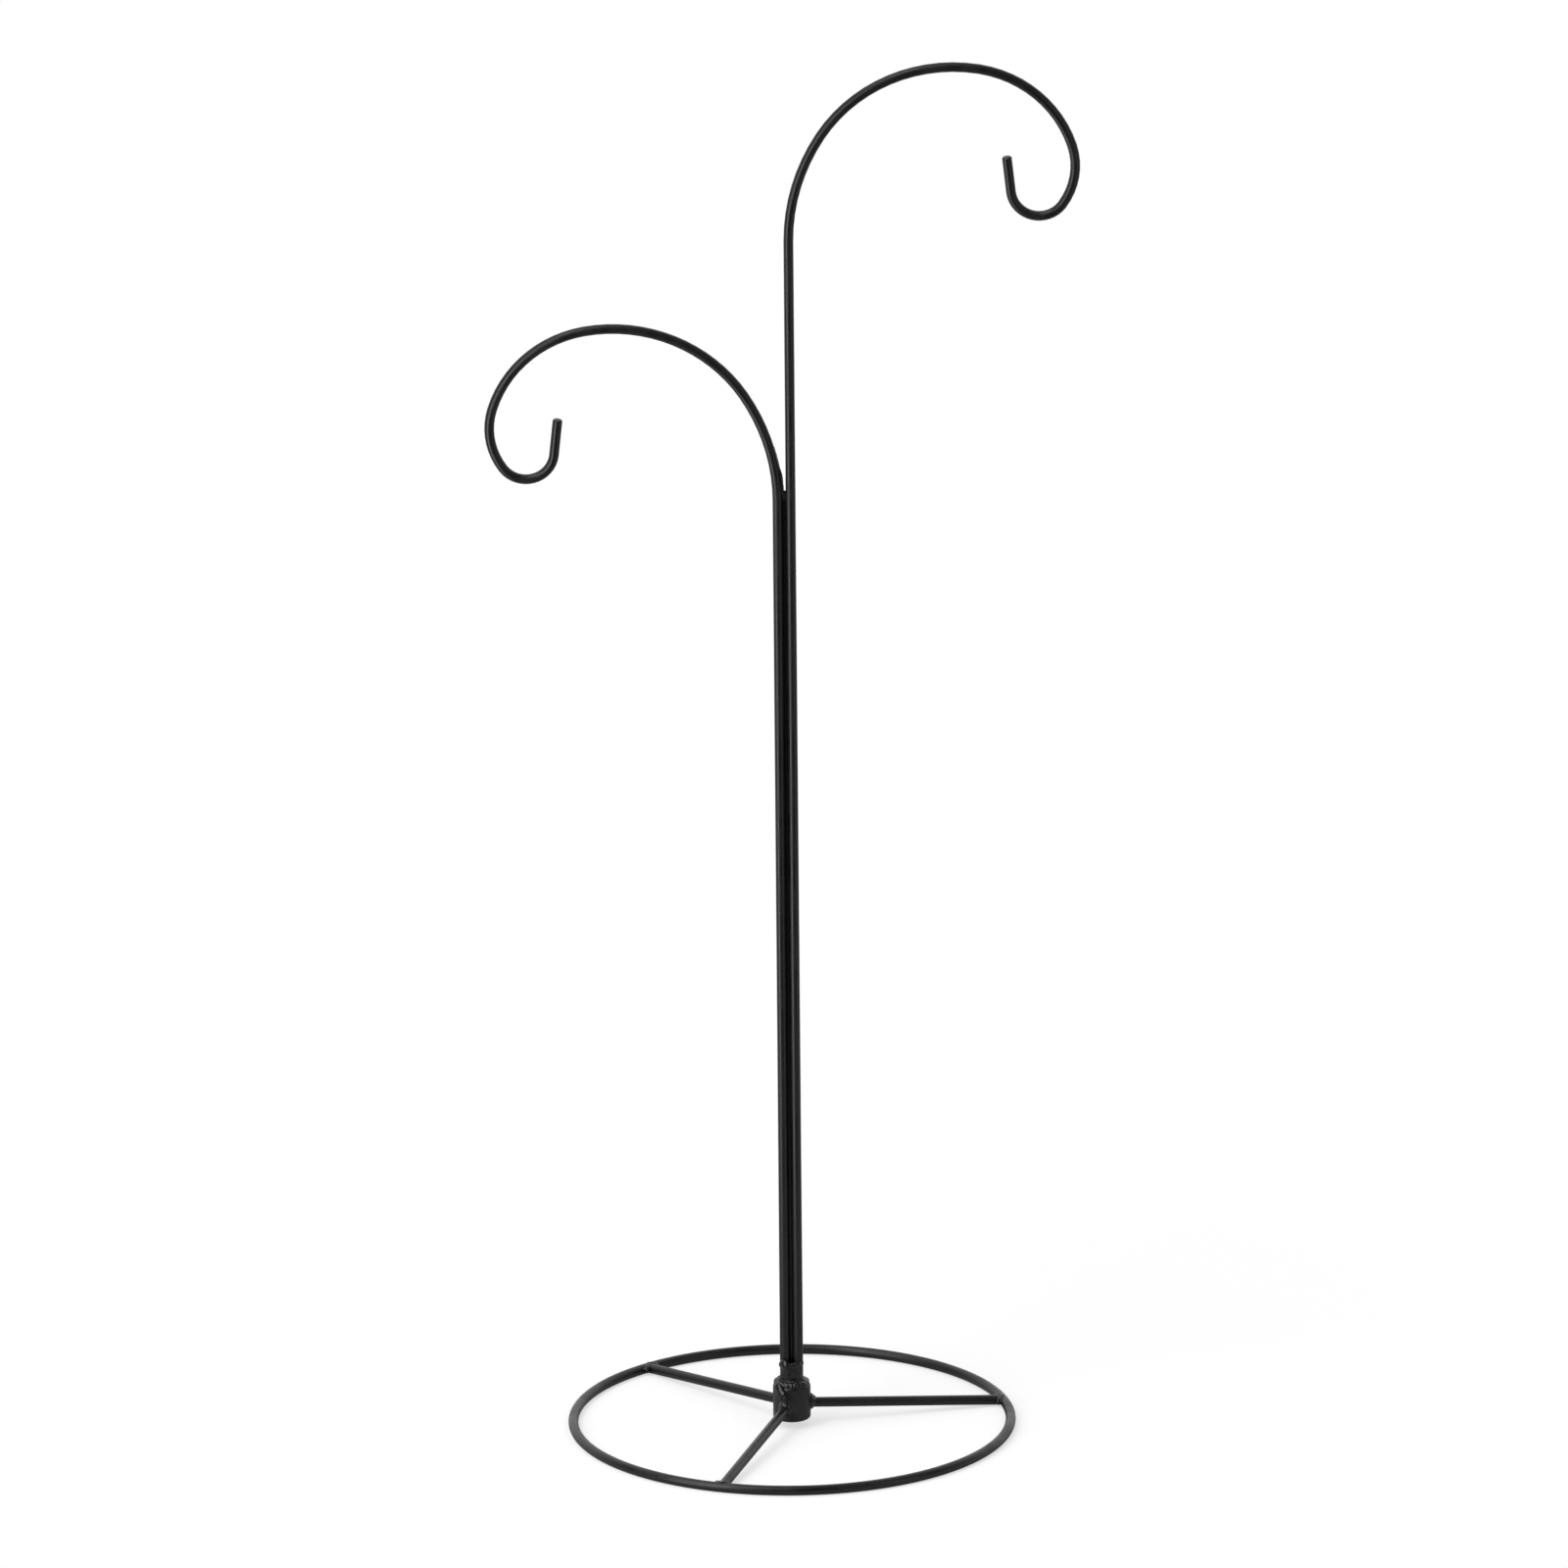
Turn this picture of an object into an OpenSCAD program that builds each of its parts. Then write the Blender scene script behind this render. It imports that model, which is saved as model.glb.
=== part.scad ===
// Hanging plant stand: two round-rod hooks at different heights on a bundled
// rod stem, welded into a hub collar that three sloping spokes carry on a ring.
// Millimetres, +Z up. The origin is on the floor, at the centre of the base ring.
// The tall hook opens towards +X, the short one towards -X; the back rod is at +Y.

/* [Rod stock] */
// Diameter of the round rod that every bent and straight piece is cut from
rod_d = 6.35; // [5:0.05:8]
// Bevel left on a cut rod end by deburring
end_bevel = 0.8; // [0.2:0.1:1.5]
// How far the ball that closes a joint between two bends stands proud of the rod
joint_proud = 0.02; // [0.01:0.01:0.05]

/* [Hook heights] */
// Height at which the tall hook rod leaves the vertical
tall_bend_z = 795; // [720:1:900]
// Height at which the short hook rod leaves the vertical
short_bend_z = 621; // [560:1:680]

/* [Hook form] */
// Radius of the first, gentle bend away from the vertical
lean_r = 130; // [110:1:150]
// Turn of the first bend, in degrees
lean_turn = 33; // [28:1:38]
// Radius of the bend that rises over the top of the hook
crown_r = 100; // [85:1:115]
// Turn of the crown bend, in degrees
crown_turn = 67; // [60:1:74]
// Radius of the bend that comes down on the outer side
shoulder_r = 75; // [62:1:88]
// Turn of the shoulder bend, in degrees
shoulder_turn = 63; // [56:1:70]
// Radius of the bend that leads into the curl
drop_r = 45; // [38:1:52]
// Turn of the drop bend, in degrees
drop_turn = 53; // [46:1:60]
// Radius of the tight curl that a pot hangs in
curl_r = 18; // [15:0.5:22]
// Turn of the curl, in degrees
curl_turn = 138; // [128:1:146]
// Length of the straight tip after the curl, with its bevel
tip_len = 24; // [12:1:35]

/* [Stem] */
// Clear gap between the two hook rods where they stand side by side
rod_gap = 2; // [0.5:0.1:3]
// Height of the top end of the back rod, just under the fork
back_rod_top_z = 624; // [560:1:640]
// How far the stem rods stop short of the underside of the collar
foot_recess = 1; // [0.5:0.5:4]
// Clearance left where two round surfaces rest against each other
seat_gap = 0.05; // [0.02:0.01:0.2]

/* [Hub collar] */
// Height of the underside of the collar above the floor
collar_z = 5; // [3:0.5:8]
// Height of the collar
collar_h = 23; // [18:0.5:32]
// Wall of the collar outside its bore
collar_wall = 4.5; // [3:0.1:7]
// Radius turned on the two outer edges of the collar
collar_edge_r = 1.8; // [0.5:0.1:2.5]

/* [Base ring] */
// Diameter of the base ring, measured to the middle of its rod
ring_d = 278; // [220:1:340]
// Bearing of the rear right spoke, in degrees from +X towards +Y
right_spoke_bearing = 15; // [5:1:30]
// Bearing of the rear left spoke
left_spoke_bearing = 131; // [115:1:145]
// Bearing of the front spoke
front_spoke_bearing = 251; // [235:1:265]
// Height of the middle of a spoke where it meets the collar
spoke_hub_z = 14; // [11:0.5:20]
// How far short of the middle of the ring rod a spoke end stops
spoke_setback = 1.1; // [0.8:0.1:2]

/* [Welds] */
// Leg of the fillets that fill the two corners between a spoke and the ring
ring_weld_leg = 5; // [3:0.5:7]
// How far those fillets stay below the top and bottom of the ring rod
ring_weld_inset = 0.4; // [0.2:0.1:1]
// Length of the weld skirt along a spoke, from the collar outwards
hub_weld_len = 4; // [2.5:0.5:6]
// How much wider than the spoke the skirt is against the collar
hub_weld_flare = 2.4; // [1:0.1:3.5]
// Height of the domed weld on top of the collar
dome_h = 4.5; // [3:0.5:8]
// Height of the neck of weld that fills the grooves of the stem above the collar
neck_h = 16; // [12:0.5:24]
// How far the neck stays inside the circle round the stem rods
neck_inset = 0.2; // [0.1:0.1:0.6]
// Radius of the section of the bead that rings the stem near the top of the neck
neck_bead_r = 2; // [1.5:0.1:3]
// How far that bead stands proud of the stem
neck_bead_proud = 0.7; // [0.3:0.1:1.4]
// Radius of the round bead that bridges the two hook rods at the fork
fork_bead_r = 3.4; // [2.8:0.1:4.2]
// Radius of a short tack weld in the grooves at the back of the stem
tack_r = 1.5; // [1:0.1:2]
// Length of a tack weld, between the centres of its round ends
tack_len = 9; // [4:1:16]
// Number of tack welds in each groove
tack_count = 4; // [2:1:8]
// Height of the lowest pair of tack welds
tack_low_z = 90; // [60:5:160]
// Height of the highest pair of tack welds
tack_high_z = 560; // [420:5:600]

/* [Hidden] */
$fn = 144;
// The large ring, and the weld lenses that seat on it, are drawn finer
ring_facets = 360;

rod_r = rod_d / 2;
ring_r = ring_d / 2;

// Bends of a hook, from the vertical shank round to the tip: radius and turn
bends = [
    [lean_r, lean_turn],
    [crown_r, crown_turn],
    [shoulder_r, shoulder_turn],
    [drop_r, drop_turn],
    [curl_r, curl_turn],
];

// The three stem rods touch like pipes in a rack: two in front, one behind.
// Their common circle is centred on the axis of the collar.
half_pitch = (rod_d + rod_gap) / 2;
nest_depth = sqrt(pow(rod_d + seat_gap, 2) - pow(half_pitch, 2));
front_y = -(nest_depth * nest_depth - half_pitch * half_pitch) / (2 * nest_depth);
back_y = front_y + nest_depth;
bundle_r = norm([half_pitch, front_y]) + rod_r;

bore_r = bundle_r + seat_gap;
collar_r = bore_r + collar_wall;
collar_top_z = collar_z + collar_h;
stem_foot_z = collar_z + foot_recess;

spoke_bearings = [right_spoke_bearing, left_spoke_bearing, front_spoke_bearing];
// A spoke's axis runs from the collar's surface down to the middle of the ring rod
spoke_run = ring_r - collar_r;
spoke_fall = atan2(spoke_hub_z - rod_r, spoke_run);
spoke_axis_len = norm([spoke_run, spoke_hub_z - rod_r]);

steel = "#26272a";
weld_metal = "#303135";

// ---- Rod forms ----

// Round rod along +Z from the origin, with the end at the origin left square
module rod(length) {
    cylinder(r = rod_r, h = length - end_bevel);
    translate([0, 0, length - end_bevel])
        cylinder(r1 = rod_r, r2 = rod_r - end_bevel, h = end_bevel);
}

// Rod along +Z with both ends bevelled, its foot at the origin
module bevelled_rod(length) {
    cylinder(r1 = rod_r - end_bevel, r2 = rod_r, h = end_bevel);
    translate([0, 0, end_bevel])
        rod(length - end_bevel);
}

// One bend of the rod: it leaves the origin along +Z and turns towards +X
module bend(radius, turn) {
    translate([radius, 0, 0])
        rotate([90, 0, 0])
            rotate([0, 0, 180 - turn])
                rotate_extrude(angle = turn)
                    translate([radius, 0])
                        circle(r = rod_r);
}

// Ball that closes the joint where one bend follows another
module joint_ball() {
    sphere(r = rod_r + joint_proud);
}

// A bend with the ball at its far end
module closed_bend(radius, turn) {
    bend(radius, turn);
    translate([radius * (1 - cos(turn)), 0, radius * sin(turn)])
        joint_ball();
}

// The bends from number i onwards, each starting where the last one ends
module bends_from(i) {
    if (i < len(bends)) {
        radius = bends[i][0];
        turn = bends[i][1];
        closed_bend(radius, turn);
        translate([radius * (1 - cos(turn)), 0, radius * sin(turn)])
            rotate([0, turn, 0])
                bends_from(i + 1);
    } else {
        rod(tip_len);
    }
}

// Straight shank from the foot of the stem up to the first bend, with a ball on top
module shank(bend_z) {
    translate([0, 0, stem_foot_z])
        cylinder(r1 = rod_r - end_bevel, r2 = rod_r, h = end_bevel);
    translate([0, 0, stem_foot_z + end_bevel])
        cylinder(r = rod_r, h = bend_z - stem_foot_z - end_bevel);
    translate([0, 0, bend_z])
        joint_ball();
}

// A hook rod on the Z axis: straight shank, then the bends towards +X
module hook_rod(bend_z) {
    shank(bend_z);
    translate([0, 0, bend_z])
        bends_from(0);
}

// ---- Stem and hooks ----

module tall_hook_rod() {
    color(steel)
        translate([half_pitch, front_y, 0])
            hook_rod(tall_bend_z);
}

module short_hook_rod() {
    color(steel)
        translate([-half_pitch, front_y, 0])
            mirror([1, 0, 0])
                hook_rod(short_bend_z);
}

module back_rod() {
    color(steel)
        translate([0, back_y, stem_foot_z])
            bevelled_rod(back_rod_top_z - stem_foot_z);
}

// Straight cores of the three stem rods, up to height top_z, for fitting welds to them
module stem_cores(top_z) {
    for (place = [[half_pitch, front_y], [-half_pitch, front_y], [0, back_y]])
        translate([place[0], place[1], 0])
            cylinder(r = rod_r, h = top_z);
}

// ---- Hub ----

// Half section of the collar, with a quarter round on both outer edges
module collar_section() {
    inner_w = collar_r - collar_edge_r - bore_r;
    translate([bore_r, collar_z])
        square([inner_w, collar_h]);
    translate([bore_r, collar_z + collar_edge_r])
        square([collar_r - bore_r, collar_h - 2 * collar_edge_r]);
    for (z = [collar_z + collar_edge_r, collar_top_z - collar_edge_r])
        translate([collar_r - collar_edge_r, z])
            circle(r = collar_edge_r);
}

module hub_collar() {
    color(steel)
        rotate_extrude()
            collar_section();
}

// ---- Base ----

// The rod of the ring; with a gap, the space to leave for it in what seats on it
module ring_rod(gap) {
    translate([0, 0, rod_r])
        rotate_extrude($fn = ring_facets)
            translate([ring_r, 0])
                circle(r = rod_r + gap);
}

module base_ring() {
    color(steel)
        ring_rod(0);
}

// The round of the collar, carried up to height top_z, with the gap that a seat leaves
module collar_seat(top_z) {
    cylinder(r = collar_r + seat_gap, h = top_z);
}

// Places its children on a spoke's axis: +Z runs outwards from the collar's surface
module on_spoke_axis(bearing) {
    rotate([0, 0, bearing])
        translate([collar_r, 0, spoke_hub_z])
            rotate([0, 90 + spoke_fall, 0])
                children();
}

// A spoke is cut to the round of the collar and of the ring rod, so both ends seat
module spoke(bearing) {
    color(steel)
        difference() {
            on_spoke_axis(bearing)
                translate([0, 0, -rod_r])
                    cylinder(r = rod_r, h = spoke_axis_len + rod_r - spoke_setback);
            collar_seat(collar_top_z);
            ring_rod(seat_gap);
        }
}

module rear_right_spoke() {
    spoke(right_spoke_bearing);
}

module rear_left_spoke() {
    spoke(left_spoke_bearing);
}

module front_spoke() {
    spoke(front_spoke_bearing);
}

// ---- Welds ----

// Weld between the two hook rods, on top of the back rod
module fork_weld() {
    color(weld_metal)
        difference() {
            translate([0, front_y + rod_r, back_rod_top_z])
                sphere(r = fork_bead_r);
            tall_hook_rod();
            short_hook_rod();
            back_rod();
        }
}

// Half section of the stem's weld: a dome on the collar, a neck and a bead round it
module neck_section() {
    foot_r = collar_r - collar_edge_r;
    dome_r = (dome_h * dome_h + foot_r * foot_r) / (2 * dome_h);
    neck_r = bundle_r - neck_inset;
    bead_x = bundle_r + neck_bead_proud - neck_bead_r;
    intersection() {
        translate([0, collar_top_z + dome_h - dome_r])
            circle(r = dome_r);
        translate([0, collar_top_z])
            square([foot_r, dome_h]);
    }
    translate([0, collar_top_z])
        square([neck_r, neck_h - neck_bead_r]);
    translate([bead_x, collar_top_z + neck_h - neck_bead_r])
        circle(r = neck_bead_r);
    translate([0, collar_top_z + neck_h - 2 * neck_bead_r])
        square([bead_x, 2 * neck_bead_r]);
}

module neck_weld() {
    color(weld_metal)
        difference() {
            rotate_extrude()
                neck_section();
            stem_cores(collar_top_z + 2 * neck_h);
        }
}

// One tack weld on the right side: a short round-ended bead in the back groove
module tack(z) {
    // The groove opens away from the line where the back rod and the hook rod touch
    touch = [half_pitch / 2, (front_y + back_y) / 2];
    outwards = [nest_depth, half_pitch] / norm([nest_depth, half_pitch]);
    place = touch + outwards * rod_r * 0.75;
    translate([place[0], place[1], z - tack_len / 2]) {
        cylinder(r = tack_r, h = tack_len);
        for (end_z = [0, tack_len])
            translate([0, 0, end_z])
                sphere(r = tack_r);
    }
}

module stem_tack_welds() {
    pitch = (tack_high_z - tack_low_z) / (tack_count - 1);
    color(weld_metal)
        difference() {
            for (i = [0 : tack_count - 1])
                for (side = [0, 1])
                    mirror([side, 0, 0])
                        tack(tack_low_z + i * pitch);
            stem_cores(tack_high_z + 2 * tack_len);
        }
}

// Skirt of weld round a rod: wide at z = 0, hollowed, and fading out at z = length.
// The stock below z = 0 is cut away by the surface that the skirt seats on.
module weld_skirt(length, flare, stock) {
    cove_r = (length * length + flare * flare) / (2 * flare);
    rotate_extrude()
        difference() {
            translate([0, -stock])
                square([rod_r + flare, stock + length]);
            translate([rod_r + cove_r, length])
                circle(r = cove_r);
        }
}

module spoke_hub_welds() {
    color(weld_metal)
        for (bearing = spoke_bearings)
            difference() {
                on_spoke_axis(bearing)
                    weld_skirt(hub_weld_len, hub_weld_flare, rod_r);
                on_spoke_axis(bearing)
                    translate([0, 0, -2 * rod_r])
                        cylinder(r = rod_r, h = hub_weld_len + 3 * rod_r);
                collar_seat(2 * collar_top_z);
            }
}

// Lens of weld in the plane of the ring, thinning away from the middle of the joint
module weld_lens(reach, half_t) {
    lens_r = (reach * reach + half_t * half_t) / (2 * half_t);
    intersection() {
        translate([0, 0, half_t - lens_r])
            sphere(r = lens_r, $fn = ring_facets);
        translate([0, 0, lens_r - half_t])
            sphere(r = lens_r, $fn = ring_facets);
        translate([-reach, -reach, -half_t])
            cube([reach, 2 * reach, 2 * half_t]);
    }
}

// The two fillets where a spoke meets the ring, one in each inner corner
module spoke_ring_weld(bearing) {
    reach = rod_r + ring_weld_leg;
    difference() {
        rotate([0, 0, bearing])
            translate([ring_r, 0, rod_r])
                difference() {
                    weld_lens(reach, rod_r - ring_weld_inset);
                    for (side = [-1, 1])
                        translate([-reach, side * reach, -rod_r])
                            cylinder(r = ring_weld_leg, h = rod_d);
                }
        on_spoke_axis(bearing)
            cylinder(r = rod_r, h = spoke_axis_len + rod_r);
        ring_rod(seat_gap);
    }
}

module spoke_ring_welds() {
    color(weld_metal)
        for (bearing = spoke_bearings)
            spoke_ring_weld(bearing);
}

tall_hook_rod();
short_hook_rod();
back_rod();
hub_collar();
base_ring();
rear_right_spoke();
rear_left_spoke();
front_spoke();
fork_weld();
neck_weld();
stem_tack_welds();
spoke_hub_welds();
spoke_ring_welds();
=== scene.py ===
"""Looks of a hanging plant stand: the coat on its steel rods, its weld beads and its stage."""
import math
import random
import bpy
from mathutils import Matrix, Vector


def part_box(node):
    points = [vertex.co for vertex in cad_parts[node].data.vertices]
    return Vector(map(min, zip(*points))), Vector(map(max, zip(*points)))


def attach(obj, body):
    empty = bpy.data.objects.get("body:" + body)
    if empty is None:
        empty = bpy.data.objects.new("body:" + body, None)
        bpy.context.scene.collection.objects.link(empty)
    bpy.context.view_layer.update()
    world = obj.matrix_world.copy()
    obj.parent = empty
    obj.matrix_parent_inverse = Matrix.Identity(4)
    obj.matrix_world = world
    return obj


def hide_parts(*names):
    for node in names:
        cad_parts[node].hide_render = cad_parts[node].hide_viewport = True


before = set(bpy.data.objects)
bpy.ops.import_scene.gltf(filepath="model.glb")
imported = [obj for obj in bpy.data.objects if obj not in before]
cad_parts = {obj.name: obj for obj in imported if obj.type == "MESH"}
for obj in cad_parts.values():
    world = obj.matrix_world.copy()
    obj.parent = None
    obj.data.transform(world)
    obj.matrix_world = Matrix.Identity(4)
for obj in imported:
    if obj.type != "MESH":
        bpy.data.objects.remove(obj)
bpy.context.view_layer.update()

import bpy
from bpy.props import FloatProperty, FloatVectorProperty, IntProperty, PointerProperty
from mathutils import Matrix, Vector

bl_info = {
    "name": "Hanging Plant Stand",
    "version": (1, 0, 0),
    "blender": (4, 5, 0),
    "location": "View3D > Sidebar > Plant Stand",
    "description": "Coats a hanging plant stand, lays its weld beads and sets its stage",
    "category": "Object",
}

MM = 0.001

# Corners of the steel that the welds join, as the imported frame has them
BACK_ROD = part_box("back_rod")
TALL_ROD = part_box("tall_hook_rod")
SHORT_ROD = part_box("short_hook_rod")
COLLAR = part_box("hub_collar")
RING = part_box("base_ring")

ROD_R = (BACK_ROD[1].x - BACK_ROD[0].x) / 2
RING_R = (RING[1].x - RING[0].x) / 2 - ROD_R
COLLAR_R = (COLLAR[1].x - COLLAR[0].x) / 2
FRONT_Y = (TALL_ROD[0].y + TALL_ROD[1].y) / 2
BACK_Y = (BACK_ROD[0].y + BACK_ROD[1].y) / 2
HALF_PITCH = TALL_ROD[0].x + ROD_R
STEM_R = math.hypot(HALF_PITCH, FRONT_Y) + ROD_R


# ---------------------------------------------------------------- settings


class StandSizes(bpy.types.PropertyGroup):
    """Sizes of the steel that the welds follow"""

    rod_radius: FloatProperty(
        name="Rod radius", description="Radius of the round bar", default=ROD_R, unit="LENGTH")
    ring_radius: FloatProperty(
        name="Ring radius", description="Radius of the base ring, to the middle of its bar",
        default=RING_R, unit="LENGTH")
    collar_radius: FloatProperty(
        name="Collar radius", description="Outer radius of the hub collar",
        default=COLLAR_R, unit="LENGTH")
    collar_top: FloatProperty(
        name="Collar top", description="Height of the top of the hub collar",
        default=COLLAR[1].z, unit="LENGTH")
    fork_height: FloatProperty(
        name="Fork height", description="Height of the top of the back rod, under the fork",
        default=BACK_ROD[1].z, unit="LENGTH")
    lean_height: FloatProperty(
        name="Lean height", description="Height at which the short rod starts to lean out",
        default=621 * MM, unit="LENGTH")
    lean_radius: FloatProperty(
        name="Lean radius", description="Radius of the short rod's first bend, to mid bar",
        default=130 * MM, unit="LENGTH")
    spoke_height: FloatProperty(
        name="Spoke height", description="Height of the middle of a spoke at the collar",
        default=14 * MM, unit="LENGTH")
    right_spoke: FloatProperty(
        name="Rear right spoke", description="Bearing of the rear right spoke",
        default=math.radians(15), subtype="ANGLE")
    left_spoke: FloatProperty(
        name="Rear left spoke", description="Bearing of the rear left spoke",
        default=math.radians(131), subtype="ANGLE")
    front_spoke: FloatProperty(
        name="Front spoke", description="Bearing of the front spoke",
        default=math.radians(251), subtype="ANGLE")


class WeldSizes(bpy.types.PropertyGroup):
    """Sizes of the weld beads"""

    grain: FloatProperty(
        name="Surface step", description="Spacing of the points on a bead's surface",
        default=0.3 * MM, unit="LENGTH")
    roughening: FloatProperty(
        name="Roughening", description="Height of the lumps on a bead's surface",
        default=0.35 * MM, unit="LENGTH")
    tack_length: FloatProperty(
        name="Tack length", description="Length of a tack weld on the back of the stem",
        default=9 * MM, unit="LENGTH")
    tack_count: IntProperty(
        name="Tacks", description="Number of tack welds in each groove of the stem", default=4)
    tack_low: FloatProperty(
        name="Lowest tack", description="Height of the lowest pair of tack welds",
        default=90 * MM, unit="LENGTH")
    tack_high: FloatProperty(
        name="Highest tack", description="Height of the highest pair of tack welds",
        default=560 * MM, unit="LENGTH")
    neck_height: FloatProperty(
        name="Neck height", description="Height of the weld round the stem above the collar",
        default=16 * MM, unit="LENGTH")


class CoatLook(bpy.types.PropertyGroup):
    """Colours and sheen of the powder coat"""

    rod_colour: FloatVectorProperty(
        name="Rod colour", description="Colour of the coat on the bars", subtype="COLOR",
        default=(0.0045, 0.0045, 0.0046), min=0, max=1)
    weld_colour: FloatVectorProperty(
        name="Weld colour", description="Colour of the coat over the welds", subtype="COLOR",
        default=(0.0058, 0.0058, 0.0060), min=0, max=1)
    dust_colour: FloatVectorProperty(
        name="Dust colour", description="Colour of dust and dull patches", subtype="COLOR",
        default=(0.050, 0.049, 0.046), min=0, max=1)
    worn_colour: FloatVectorProperty(
        name="Worn colour", description="Colour where the coat is rubbed thin", subtype="COLOR",
        default=(0.075, 0.073, 0.070), min=0, max=1)
    rod_roughness: FloatProperty(
        name="Rod roughness", description="Roughness of the coat on the bars",
        default=0.34, subtype="FACTOR")
    weld_roughness: FloatProperty(
        name="Weld roughness", description="Roughness of the coat over the welds",
        default=0.2, subtype="FACTOR")
    specular: FloatProperty(
        name="Specular level", description="Strength of the coat's reflections",
        default=0.5, subtype="FACTOR")
    peel_depth: FloatProperty(
        name="Peel depth", description="Depth of the waviness of the coat",
        default=0.035 * MM, unit="LENGTH")


class StageLook(bpy.types.PropertyGroup):
    """Camera and light"""

    elevation: FloatProperty(
        name="Elevation", description="Height of the camera above the horizon",
        default=math.radians(18.9), subtype="ANGLE")
    roll: FloatProperty(
        name="Roll", description="Turn of the camera about its line of sight",
        default=math.radians(0.5), subtype="ANGLE")
    distance: FloatProperty(
        name="Distance", description="Distance from the camera to the stand",
        default=4.0, unit="LENGTH")
    view_width: FloatProperty(
        name="Width in view", description="Width that the picture covers at the stand",
        default=0.9968, unit="LENGTH")
    aim: FloatVectorProperty(
        name="Aim", description="Point in the middle of the picture", subtype="XYZ",
        default=(-0.0016, 0.0, 0.4304))
    floor_radius: FloatProperty(
        name="Floor radius", description="Radius of the round white floor", default=0.62,
        unit="LENGTH")
    floor_colour: FloatProperty(
        name="Floor colour", description="Share of the light that the floor gives back",
        default=0.45, subtype="FACTOR")
    key_power: FloatProperty(
        name="Key light", description="Power of the tall soft box on the left", default=22.0,
        unit="POWER")
    fill_power: FloatProperty(
        name="Fill light", description="Power of the tall soft box on the right", default=3.5,
        unit="POWER")
    top_strength: FloatProperty(
        name="Top light", description="Strength of the soft light from above", default=0.9)
    room_light: FloatProperty(
        name="Room light", description="Strength of the light from all round", default=0.55)
    dark_side: FloatProperty(
        name="Dark side", description="Brightness of the room behind the camera, in reflections",
        default=0.10)


def settings(name):
    """The settings kept in the scene under that name."""
    return getattr(bpy.context.scene, name)


# ---------------------------------------------------------------- node groups


class Wiring:
    """Adds nodes to a tree and links them, so that a material reads from top to bottom."""

    def __init__(self, tree):
        self.tree = tree

    def add(self, kind, **values):
        node = self.tree.nodes.new(kind)
        for name, value in values.items():
            setattr(node, name, value)
        return node

    def join(self, source, target):
        self.tree.links.new(source, target)

    def feed(self, socket, value):
        if isinstance(value, bpy.types.NodeSocket):
            self.join(value, socket)
        else:
            socket.default_value = value

    def maths(self, operation, first, second=0.0, clamp=False):
        node = self.add("ShaderNodeMath", operation=operation, use_clamp=clamp)
        self.feed(node.inputs[0], first)
        self.feed(node.inputs[1], second)
        return node.outputs[0]

    def scaled(self, value, factor):
        return self.maths("MULTIPLY", value, factor)

    def spread(self, value, low, high, to_low=0.0, to_high=1.0):
        """Stretches value from low..high to to_low..to_high, smoothly and clamped."""
        node = self.add("ShaderNodeMapRange", interpolation_type="SMOOTHSTEP")
        for number, given in enumerate((value, low, high, to_low, to_high)):
            self.feed(node.inputs[number], given)
        return node.outputs[0]

    def blend(self, factor, first, second):
        # The mix node's sockets for colours come after those for numbers and vectors
        node = self.add("ShaderNodeMix", data_type="RGBA")
        self.feed(node.inputs[0], factor)
        self.feed(node.inputs[6], first)
        self.feed(node.inputs[7], second)
        return node.outputs[2]

    def noise(self, place, scale, detail=2.0, roughness=0.5):
        node = self.add("ShaderNodeTexNoise")
        self.feed(node.inputs["Vector"], place)
        self.feed(node.inputs["Scale"], scale)
        node.inputs["Detail"].default_value = detail
        node.inputs["Roughness"].default_value = roughness
        return node.outputs["Fac"]


def new_group(name, takes, gives):
    """An empty shader node group with those inputs and outputs."""
    group = bpy.data.node_groups.new(name, "ShaderNodeTree")
    for label, kind, default in takes:
        socket = group.interface.new_socket(name=label, in_out="INPUT", socket_type=kind)
        socket.default_value = default
    for label, kind in gives:
        group.interface.new_socket(name=label, in_out="OUTPUT", socket_type=kind)
    wire = Wiring(group)
    return group, wire, wire.add("NodeGroupInput"), wire.add("NodeGroupOutput")


def make_peel_group():
    """Waviness of sprayed and baked powder, with the fine grain on top of it."""
    group, wire, given, out = new_group(
        "coat_peel",
        [("Waves per metre", "NodeSocketFloat", 620.0),
         ("Grain per metre", "NodeSocketFloat", 3600.0),
         ("Grain share", "NodeSocketFloat", 0.2)],
        [("Height", "NodeSocketFloat")],
    )
    place = wire.add("ShaderNodeTexCoord").outputs["Object"]
    waves = wire.noise(place, given.outputs["Waves per metre"], detail=1.5, roughness=0.45)
    grain = wire.noise(place, given.outputs["Grain per metre"], detail=3.0, roughness=0.6)
    fine = wire.scaled(grain, given.outputs["Grain share"])
    wire.join(wire.maths("ADD", waves, fine), out.inputs["Height"])
    return group


def make_sheen_group():
    """Slow changes in how thick and how glossy the coat baked out."""
    group, wire, given, out = new_group(
        "coat_sheen",
        [("Patches per metre", "NodeSocketFloat", 38.0), ("Fineness", "NodeSocketFloat", 7.0)],
        [("Patch", "NodeSocketFloat"), ("Fine patch", "NodeSocketFloat")],
    )
    place = wire.add("ShaderNodeTexCoord").outputs["Object"]
    patches = given.outputs["Patches per metre"]
    broad = wire.noise(place, patches, detail=3.0, roughness=0.55)
    wire.join(wire.spread(broad, 0.32, 0.68), out.inputs["Patch"])
    finer = wire.scaled(patches, given.outputs["Fineness"])
    small = wire.noise(place, finer, detail=3.0, roughness=0.6)
    wire.join(wire.spread(small, 0.35, 0.65), out.inputs["Fine patch"])
    return group


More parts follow.
